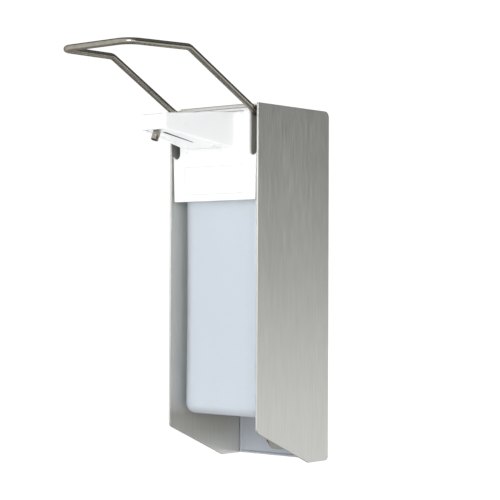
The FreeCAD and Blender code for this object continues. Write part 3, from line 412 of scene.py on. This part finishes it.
# Painted shade: the bracket's stainless is coloured far darker than the housing's, for its shaded
# place under the bottle.
rest_steel = brushed_stainless("folded_stainless", (0.25, 0.24, 0.21), (0.35, 0.335, 0.30), 0.38)
rest = softened_copy("bottle_rest", "bottle_rest_bracket", 0.0003)
finish_piece(rest, "housing", "folded_stainless", rest_steel, "bottle_rest")

rubber = matt_rubber()
plain_steel = turned_steel("plain_steel", (0.50, 0.49, 0.47), (0.66, 0.65, 0.62), 0.30)
# Painted shade: rest_buffer and slit_seal are black rubber set in the shaded gap beside the rest's
# tongue and over the shaded slit in the spout floor; neck_gasket and piston_seal are real rubber.
dress(rubber, "rest_buffer", "neck_gasket", "piston_seal", "slit_seal")
# Painted shade: the guide strips are coloured darker than the housing's sheet, for the shade they
# show in through the arm slots.
guide_steel = brushed_stainless("guide_strip_steel", (0.42, 0.41, 0.38), (0.52, 0.51, 0.47),
                                0.42)
dress(guide_steel, "arm_guides")
dress(plain_steel, "carrier_rivets", "bearing_screws", "bracket_screws", "head_screws",
      "head_bracket", "piston_rod", "rod_nut", "suction_ball", "delivery_ball")


# ---- Pump and its small mouldings ----------------------------------------------------------
# Acetal parts turned or moulded in natural ivory white, hidden behind the head but for what
# shows through the arm slots.

acetal = moulded_plastic("natural_acetal", (0.80, 0.79, 0.75), 0.42, 0.0006, 0.00003)
dress(acetal, "bearing_block_left", "bearing_block_right", "tube_clips", "pump_collar",
      "pump_cylinder", "rod_guide", "valve_block", "ball_cage", "delivery_valve", "dip_tube",
      "dip_strainer", "crosshead", "piston")
spring_steel = turned_steel("spring_wire", (0.34, 0.34, 0.34), (0.52, 0.52, 0.52), 0.26)
dress(spring_steel, "retaining_rings")


# ---- Bottle --------------------------------------------------------------------------------
# A blown one litre bottle of milky translucent polyethylene: sides that swell a little, round
# heel, drawn-in shoulder, wide neck under the pump's collar. The soap in it has a well, because
# it stands round the pump's cylinder and valves.

def grid_mesh(name, points, closed_u, pole_low=False, pole_high=False):
    """Mesh from an array of rings, one row of points each: neighbours in a ring and in the next
    ring make a quad. A ring closes on itself if closed_u; a pole fans the first or last ring."""
    rows, count = points.shape[:2]
    column = np.arange(count if closed_u else count - 1)
    after = (column + 1) % count
    row = np.arange(rows - 1)[:, None] * count
    quads = np.stack([row + column, row + after, row + count + after, row + count + column], -1)
    faces = quads.reshape(-1, 4).tolist()
    vertices = points.reshape(-1, 3)
    if pole_low:
        vertices = np.concatenate([vertices, [points[0].mean(0)]])
        faces += [(len(vertices) - 1, b, a) for a, b in zip(column.tolist(), after.tolist())]
    if pole_high:
        vertices = np.concatenate([vertices, [points[-1].mean(0)]])
        last = (rows - 1) * count
        faces += [(len(vertices) - 1, last + a, last + b)
                  for a, b in zip(column.tolist(), after.tolist())]
    mesh = bpy.data.meshes.new(name)
    mesh.from_pydata(vertices.tolist(), [], faces)
    mesh.shade_smooth()
    piece = bpy.data.objects.new(name, mesh)
    bpy.context.scene.collection.objects.link(piece)
    return piece


def rounded_rectangle(half_x, half_y, radius, flat_steps, arc_steps):
    """Points round a rectangle with round corners, counter-clockwise from the middle of +X.
    One quarter is half a side, an arc and half a side; the others are its mirror images."""
    up = np.linspace(0.0, half_y - radius, flat_steps)
    angle = np.linspace(0.0, np.pi / 2, arc_steps)
    along = np.linspace(half_x - radius, 0.0, flat_steps)
    quarter_x = np.concatenate([np.full(flat_steps - 1, half_x),
                                half_x - radius + radius * np.cos(angle), along[1:]])
    quarter_y = np.concatenate([up[:-1], half_y - radius + radius * np.sin(angle),
                                np.full(flat_steps - 1, half_y)])
    back_x, back_y = quarter_x[::-1][1:], quarter_y[::-1][1:]
    ring_x = np.concatenate([quarter_x, -back_x, -quarter_x[1:], back_x[:-1]])
    ring_y = np.concatenate([quarter_y, back_y, -quarter_y[1:], -back_y[:-1]])
    return ring_x, ring_y


bottle_low, bottle_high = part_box("soap_bottle")
bottle_mid_y = (bottle_low.y + bottle_high.y) / 2
bottle_half_x = (bottle_high.x - bottle_low.x) / 2
bottle_half_y = (bottle_high.y - bottle_low.y) / 2
neck_radius = 0.0188
shoulder_z = 0.076
neck_base_z = 0.0795
side_steps, corner_steps = 9, 11


def bottle_rings(inset, floor_z, top_z, with_neck):
    """Rings from the middle of the foot to the top. Each ring is a rounded rectangle whose inset
    follows a quarter circle at the heel and at the shoulder; the foot is pushed up in the middle,
    the flat sides swell by a sine of the height, and the shoulder blends into the round neck."""
    heel, crown, corner = 0.008, 0.006, 0.013
    angle = np.linspace(0.0, np.pi / 2, 9)
    foot_share = np.array([0.04, 0.25, 0.5, 0.7, 0.85, 0.95])
    foot_rise = 0.0035 * np.array([1.0, 0.97, 0.85, 0.5, 0.15, 0.02])
    heel_in = heel * (1 - np.sin(angle))
    heel_z = floor_z + heel * (1 - np.cos(angle))
    wall_z = np.linspace(floor_z + heel, top_z - crown, 34)[1:-1]
    crown_in = crown * (1 - np.cos(angle))
    crown_z = top_z - crown + crown * np.sin(angle)
    insets = np.concatenate([np.full(len(foot_share), heel), heel_in,
                             np.zeros(len(wall_z)), crown_in])
    shares = np.concatenate([foot_share, np.ones(len(heel_in) + len(wall_z) + len(crown_in))])
    heights = np.concatenate([floor_z + foot_rise, heel_z, wall_z, crown_z])
    rings = []
    for step_in, share, z in zip(insets, shares, heights):
        half_x = bottle_half_x - inset - step_in
        half_y = bottle_half_y - inset - step_in
        ring_x, ring_y = rounded_rectangle(half_x, half_y, max(corner - inset - step_in, 0.004),
                                           side_steps, corner_steps)
        rise = np.clip((z - floor_z) / (top_z - floor_z), 0.0, 1.0)
        hollow = 0.0005 * np.sin(np.pi * rise)
        side_x = np.cos(np.pi * np.clip(ring_y / (2 * half_y), -0.5, 0.5))
        side_y = np.cos(np.pi * np.clip(ring_x / (2 * half_x), -0.5, 0.5))
        ring_x = ring_x - np.sign(ring_x) * hollow * (1 - side_x)
        ring_y = ring_y - np.sign(ring_y) * hollow * (1 - side_y)
        rings.append(np.stack([ring_x * share, bottle_mid_y + ring_y * share,
                               np.full(ring_x.shape, z)], -1))
    rings = np.array(rings)
    if with_neck:
        ring_x, ring_y = rings[-1][:, 0], rings[-1][:, 1] - bottle_mid_y
        turn_angle = np.arctan2(ring_y, ring_x)
        circle = np.stack([np.cos(turn_angle), np.sin(turn_angle)], -1)
        extra = []
        for share, z in ((0.3, 0.0005), (0.65, 0.0014), (0.9, 0.0026)):
            flat = np.stack([ring_x, ring_y], -1) * (1 - share)
            flat = flat + circle * (neck_radius + 0.001) * share
            extra.append((flat, top_z + z))
        bead = neck_radius + 0.0008
        for reach, z in ((neck_radius, neck_base_z), (neck_radius, 0.0815), (bead, 0.082),
                         (neck_radius, 0.0826), (neck_radius, 0.085), (bead, 0.0855),
                         (neck_radius, 0.0861), (neck_radius, bottle_high.z)):
            extra.append((circle * reach, z))
        more = [np.stack([flat[:, 0], bottle_mid_y + flat[:, 1], np.full(len(flat), z)], -1)
                for flat, z in extra]
        rings = np.concatenate([rings, np.array(more)])
    return rings


def milky_polyethylene():
    """Translucent bottle wall: part of the light goes through, the rest scatters; a silky skin
    with faint blow-moulding streaks."""
    material, nodes, links, shader = material_base("milky_polyethylene", (0.88, 0.92, 0.96),
                                                   0.0, 0.38)
    streak = stretched_noise(nodes, links, (90.0, 90.0, 12.0), 3.0, "blow_streaks")
    grain = stretched_noise(nodes, links, (1500.0, 1500.0, 1500.0), 2.0, "skin_grain")
    links.new(ranged(nodes, links, streak.outputs["Fac"], 0.32, 0.44), shader.inputs["Roughness"])
    wave = bumped(nodes, links, streak.outputs["Fac"], 0.0003, 0.1)
    skin = bumped(nodes, links, grain.outputs["Fac"], 0.00003, 0.3, wave)
    links.new(skin, shader.inputs["Normal"])
    shader.inputs["Transmission Weight"].default_value = 0.75
    shader.inputs["Coat Weight"].default_value = 0.6
    shader.inputs["Coat Roughness"].default_value = 0.12
    shader.inputs["IOR"].default_value = 1.48
    return material


def white_soap():
    """Pearly liquid soap, slightly blue. Light scatters deep in it, and a weak glow stands in for
    the light that crosses the whole bottle."""
    material, nodes, links, shader = material_base("pearly_soap", (0.66, 0.71, 0.75), 0.0, 0.25)
    swirl = stretched_noise(nodes, links, (30.0, 30.0, 16.0), 3.0, "pearl_swirl")
    links.new(tinted(nodes, links, swirl.outputs["Fac"], (0.64, 0.69, 0.73), (0.68, 0.73, 0.77)),
              shader.inputs["Base Color"])
    shader.inputs["Subsurface Weight"].default_value = 1.0
    shader.inputs["Subsurface Radius"].default_value = (0.8, 0.9, 1.0)
    shader.inputs["Subsurface Scale"].default_value = 0.06
    shader.inputs["Emission Color"].default_value = (0.86, 0.93, 1.0, 1.0)
    shader.inputs["Emission Strength"].default_value = 0.26
    return material


bottle = grid_mesh("bottle_wall", bottle_rings(0.0, bottle_low.z, shoulder_z, True), True,
                   pole_low=True)
wall = bottle.modifiers.new("blown_wall", "SOLIDIFY")
wall.thickness = 0.001
wall.offset = -1.0
finish_piece(bottle, "housing", "bottle_plastic", milky_polyethylene(), "soap_bottle")
soap_gap = 0.0016
soap_top = 0.0715
well_mid_y, well_floor_z = -0.050, 0.039
soap_rings = bottle_rings(soap_gap, bottle_low.z + soap_gap, soap_top, False)
well_x, well_y = rounded_rectangle(0.0095, 0.0145, 0.006, side_steps, corner_steps)
well_rings = [np.stack([well_x, well_y + well_mid_y, np.full(well_x.shape, z)], -1)
              for z in (soap_top + 0.0004, soap_top - 0.0004, 0.060, 0.050, well_floor_z)]
soap = grid_mesh("soap_filling", np.concatenate([soap_rings, well_rings]), True,
                 pole_low=True, pole_high=True)
finish_piece(soap, "housing", "bottle_plastic", white_soap())


# ---- Front head ----------------------------------------------------------------------------
# Plate and wedge shaped spout are one white moulding with a semi-gloss skin; the spout is
# hollow and a snapped-in floor with a thin slit closes it from below. The black rubber slit seal
# over the slit is painted shade for the inside of the slit.

white_plastic = moulded_plastic("white_moulding", (0.93, 0.935, 0.935), 0.30, 0.0009, 0.00002,
                                mottle=0.012)
white_shader = white_plastic.node_tree.nodes["Principled BSDF"]
white_shader.inputs["Subsurface Weight"].default_value = 0.4
white_shader.inputs["Subsurface Radius"].default_value = (1.0, 0.95, 0.9)
white_shader.inputs["Subsurface Scale"].default_value = 0.008
head = softened_copy("front_head", "head_moulding", 0.0006, steps=3)
finish_piece(head, "housing", "white_moulding", white_plastic, "front_head")
spout_floor = softened_copy("spout_floor", "spout_floor_insert", 0.0003)
finish_piece(spout_floor, "housing", "white_moulding", white_plastic, "spout_floor")


# ---- Lever ---------------------------------------------------------------------------------
# One length of 5 mm stainless wire, drawn bright and bent cold into a loop with two arms; the
# ends turn inward as the pins that the lever swings on.

def bent_line(corners, radii, arc_steps=14, run_length=0.004):
    """Points along straight runs joined by tangent arcs. At each inner corner the arc's centre
    lies on the bisector, and its points turn from one run's normal to the other's."""
    corners = [np.array(c, float) for c in corners]
    pieces = []
    start = corners[0]
    for before, corner, after, radius in zip(corners, corners[1:], corners[2:], radii):
        back = (before - corner) / np.linalg.norm(before - corner)
        ahead = (after - corner) / np.linalg.norm(after - corner)
        half = np.arccos(np.clip(back @ ahead, -1, 1)) / 2
        reach = radius / np.tan(half)
        entry, leave = corner + back * reach, corner + ahead * reach
        middle = corner + (back + ahead) / np.linalg.norm(back + ahead) * (radius / np.sin(half))
        steps = max(2, int(np.linalg.norm(entry - start) / run_length))
        pieces.append(start + np.linspace(0, 1, steps)[:-1, None] * (entry - start))
        sweep = np.pi - 2 * half
        across = (entry - middle) / radius
        forward = -back
        angle = np.linspace(0, sweep, arc_steps)[:-1, None]
        pieces.append(middle + radius * (np.cos(angle) * across + np.sin(angle) * forward))
        start = leave
    steps = max(2, int(np.linalg.norm(corners[-1] - start) / run_length))
    pieces.append(start + np.linspace(0, 1, steps)[:, None] * (corners[-1] - start))
    return np.concatenate(pieces)


def round_bar(name, line, radii, reference, around=28):
    """Round section carried along a line: each ring stands square to the line's tangent, and
    its first spoke is square to a fixed reference direction, so the bar doesn't twist. Each
    point also keeps its place on the straight bar, before bending, for the drawing lines."""
    tangent = np.gradient(line, axis=0)
    tangent /= np.linalg.norm(tangent, axis=1)[:, None]
    side = np.cross(tangent, reference)
    side /= np.linalg.norm(side, axis=1)[:, None]
    up = np.cross(side, tangent)
    angle = np.linspace(0, 2 * np.pi, around, endpoint=False)
    turn_cos, turn_sin = np.cos(angle)[None, :, None], np.sin(angle)[None, :, None]
    spoke = turn_cos * side[:, None] - turn_sin * up[:, None]
    rings = line[:, None] + np.asarray(radii)[:, None, None] * spoke
    bar = grid_mesh(name, rings[:, ::-1], True, pole_low=True, pole_high=True)
    length = np.concatenate([[0.0], np.cumsum(np.linalg.norm(np.diff(line, axis=0), axis=1))])
    unbent = bar.data.attributes.new("unbent_bar", "FLOAT_VECTOR", "POINT")
    run = np.broadcast_to(length[:, None], (len(line), around))
    across = np.broadcast_to(np.cos(angle[::-1]) * radii[len(radii) // 2], run.shape)
    over = np.broadcast_to(np.sin(angle[::-1]) * radii[len(radii) // 2], run.shape)
    values = np.stack([across, over, run], -1).reshape(-1, 3)
    values = np.concatenate([values, [[0.0, 0.0, 0.0], [0.0, 0.0, length[-1]]]])
    unbent.data.foreach_set("vector", values.astype(np.float32).ravel())
    return bar


def drawn_wire():
    """Bright drawn stainless wire: fine lines that run along the bar, a warm grey tone and
    duller, slightly scuffed patches from handling."""
    material, nodes, links, shader = material_base("drawn_stainless_wire", (0.24, 0.225, 0.195),
                                                   1.0, 0.17)
    shader.inputs["Specular Tint"].default_value = (0.35, 0.33, 0.29, 1.0)
    along = nodes.new("ShaderNodeAttribute")
    along.attribute_name = "unbent_bar"
    mapping = nodes.new("ShaderNodeMapping")
    mapping.inputs["Scale"].default_value = (2400.0, 2400.0, 30.0)
    links.new(along.outputs["Vector"], mapping.inputs["Vector"])
    lines = nodes.new("ShaderNodeTexNoise")
    lines.inputs["Scale"].default_value = 1.0
    lines.inputs["Detail"].default_value = 3.0
    links.new(mapping.outputs["Vector"], lines.inputs["Vector"])
    scuff = stretched_noise(nodes, links, (160.0, 160.0, 160.0), 4.0, "scuffs")
    links.new(tinted(nodes, links, scuff.outputs["Fac"], (0.29, 0.275, 0.237), (0.39, 0.37, 0.322)),
              shader.inputs["Base Color"])
    rough = nodes.new("ShaderNodeMath")
    rough.operation = "ADD"
    links.new(ranged(nodes, links, lines.outputs["Fac"], 0.17, 0.24), rough.inputs[0])
    links.new(ranged(nodes, links, scuff.outputs["Fac"], -0.03, 0.07), rough.inputs[1])
    links.new(rough.outputs["Value"], shader.inputs["Roughness"])
    links.new(bumped(nodes, links, lines.outputs["Fac"], 0.00001, 0.3), shader.inputs["Normal"])
    return material


wire_radius = 0.0025
arm_x = 0.040
pivot_y, pivot_z = -0.014, 0.128
half_lever = [(0.0225, pivot_y, pivot_z), (arm_x, pivot_y, pivot_z), (arm_x, -0.0739, pivot_z),
              (0.0396, -0.1605, 0.1745), (0.0345, -0.218, 0.173)]
other_half = [(-x, y, z) for x, y, z in reversed(half_lever)]
lever_bends = [0.006, 0.014, 0.009, 0.011]
lever_line = bent_line(half_lever + other_half, lever_bends + lever_bends[::-1])
lever_radii = np.full(len(lever_line), wire_radius)
lever_radii[[0, -1]] = wire_radius - 0.0006
lever = round_bar("lever_wire", lever_line, lever_radii, (0.0, 0.0, 1.0), around=36)
finish_piece(lever, "lever", "lever_wire", drawn_wire(), "lever_arm")


# ---- Return spring -------------------------------------------------------------------------
# Hard drawn spring wire wound cold round the piston rod, its end turns drawn closer. It stands
# on the rod guide and pushes the crosshead up.

coil_wire = 0.0006
coil_radius = 0.0053
coil_turns = 8
coil_low, coil_high = 0.094, 0.122
pump_y = -0.046
closing = 0.68
# A point's climb is its share of the turns less a sine of that share, so the pitch is least at
# both ends of the coil.
turned_by = np.linspace(0.0, 2 * np.pi * coil_turns, coil_turns * 40)
climbed = turned_by / (2 * np.pi * coil_turns)
climbed = climbed - closing * np.sin(2 * np.pi * climbed) / (2 * np.pi)
coil_line = np.stack([coil_radius * np.cos(turned_by), pump_y + coil_radius * np.sin(turned_by),
                      coil_low + coil_wire + climbed * (coil_high - coil_low - 2 * coil_wire)], -1)
coil = round_bar("coil_spring", coil_line, np.full(len(coil_line), coil_wire),
                 (0.0, 0.0, 1.0), around=12)
finish_piece(coil, "housing", "spring_steel", spring_steel, "return_spring")
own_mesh(coil)


# ---- Outlet tube and nozzle ----------------------------------------------------------------
# Thin stainless tube bent up out of the pump, forward through the spout and down; a short
# sleeve is pressed over its end, and a nearly black plug just inside its mouth is painted shade for
# its dark bore.

dress(plain_steel, "outlet_tube")


def turned(mouth, back, reach, radius, around=40):
    """Surface of revolution: at each step of a profile, given by how far back it lies from the
    mouth and its radius, stands a circle square to the axis."""
    mouth, back = np.array(mouth), np.array(back)
    axis = (back - mouth) / np.linalg.norm(back - mouth)
    side = np.cross(axis, (1.0, 0.0, 0.0))
    side /= np.linalg.norm(side)
    up = np.cross(axis, side)
    angle = np.linspace(0, 2 * np.pi, around, endpoint=False)[None, :, None]
    spoke = np.cos(angle) * side + np.sin(angle) * up
    rings = mouth + np.array(reach)[:, None, None] * axis + np.array(radius)[:, None, None] * spoke
    return rings


nozzle_mouth = (0.0, -0.1549, 0.1093)
nozzle_back = (0.0, -0.1495, 0.1223)
sleeve_reach = np.array([7.0, 7.0, 6.7, 3.4, 3.1, 2.8, 0.0, -0.25, -0.36, -0.40, -0.38, -0.3,
                         -0.1, 0.0]) / 1000
sleeve_radius = np.array([2.26, 2.7, 2.9, 2.9, 2.96, 2.9, 2.9, 2.88, 2.82, 2.72, 2.62, 2.58,
                          2.56, 2.3]) / 1000
sleeve = grid_mesh("nozzle_sleeve",
                   turned(nozzle_mouth, nozzle_back, sleeve_reach, sleeve_radius), True)
nozzle_steel = turned_steel("nozzle_steel", (0.30, 0.28, 0.24), (0.46, 0.43, 0.37), 0.26)
finish_piece(sleeve, "housing", "plain_steel", nozzle_steel, "outlet_nozzle")
# Painted shade: a nearly black, barely glossy plug with a faint mottle sits just inside the mouth
# and stands for the dark bore.
plug_reach = np.array([-0.12, -0.08, -0.04, 0.25]) / 1000
plug_radius = np.array([2.55, 2.4, 1.8, 0.6]) / 1000
bore = grid_mesh("painted_bore_shade_plug",
                 turned(nozzle_mouth, nozzle_back, plug_reach[::-1], plug_radius[::-1]), True,
                 pole_low=True)
painted_bore_shade, bore_shade_nodes, bore_shade_links, bore_shade_shader = material_base("painted_bore_shade",
                                                                (0.05, 0.04, 0.03), 0.0, 0.3)
bore_shade_noise = stretched_noise(bore_shade_nodes, bore_shade_links, (1400.0, 1400.0, 1400.0), 3.0, "bore_shade_noise")
bore_shade_tint = tinted(bore_shade_nodes, bore_shade_links, bore_shade_noise.outputs["Fac"], (0.02, 0.016, 0.012),
                    (0.07, 0.055, 0.04))
bore_shade_relief = bumped(bore_shade_nodes, bore_shade_links, bore_shade_noise.outputs["Fac"], 0.0001, 0.4)
bore_shade_links.new(bore_shade_tint, bore_shade_shader.inputs["Base Color"])
bore_shade_links.new(bore_shade_relief, bore_shade_shader.inputs["Normal"])
bore_shade_shader.inputs["Specular IOR Level"].default_value = 0.08
finish_piece(bore, "housing", "plain_steel", painted_bore_shade)
